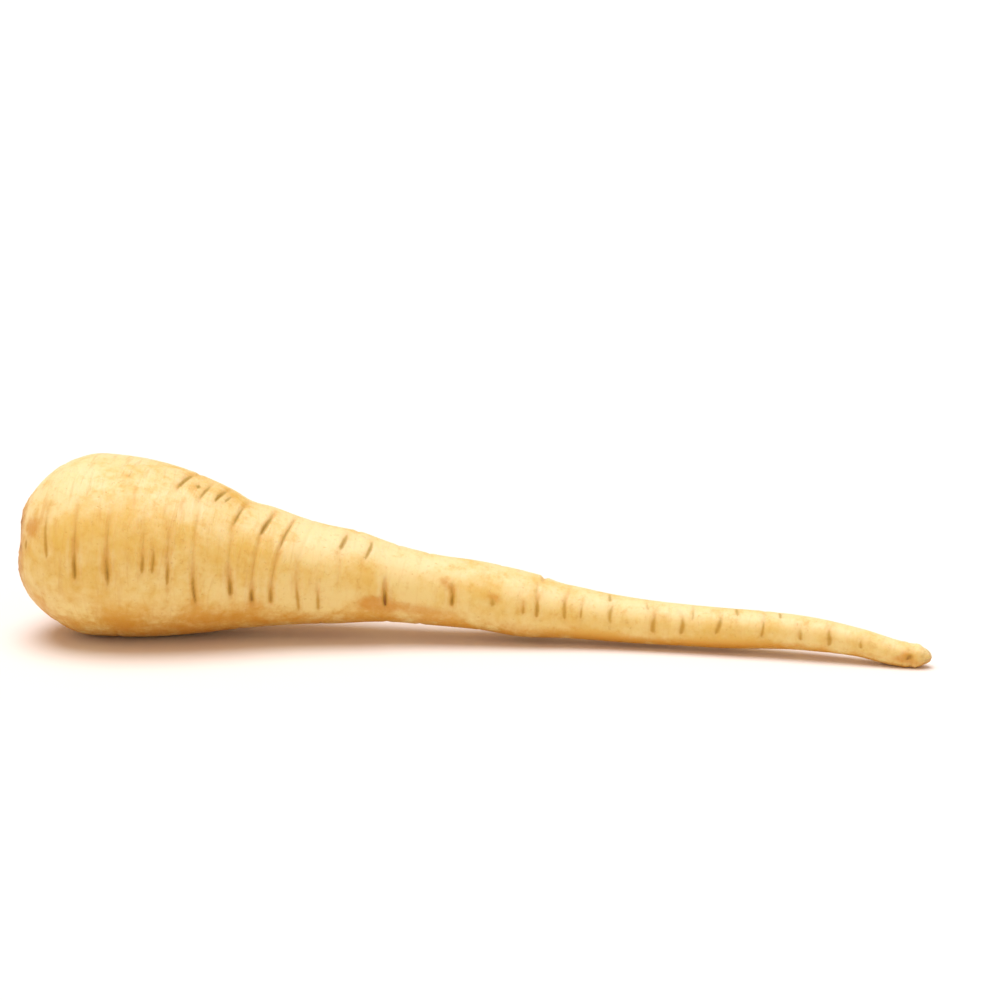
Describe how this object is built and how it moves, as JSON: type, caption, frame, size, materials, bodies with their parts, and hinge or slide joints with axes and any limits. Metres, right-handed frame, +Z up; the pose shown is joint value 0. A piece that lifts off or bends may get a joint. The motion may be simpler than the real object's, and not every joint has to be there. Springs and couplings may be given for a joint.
{
  "type": "parsnip",
  "caption": "Long tapering root vegetable lying on its side, with a round shoulder, furrowed skin and trimmed leaf stubs in its crown.",
  "frame": {"origin": "on the surface that the parsnip lies on, under the middle of its bounding box", "axes": "+X runs from the crown to the tip, +Y to the side that the root bows towards, +Z up"},
  "size_m": [0.2576, 0.0516, 0.052],
  "materials": {
    "skin": "satin",
    "stubs": "matte"
  },
  "bodies": {
    "root": {"root": "skin", "leaf_stubs": "stubs"}
  },
  "joints": []
}
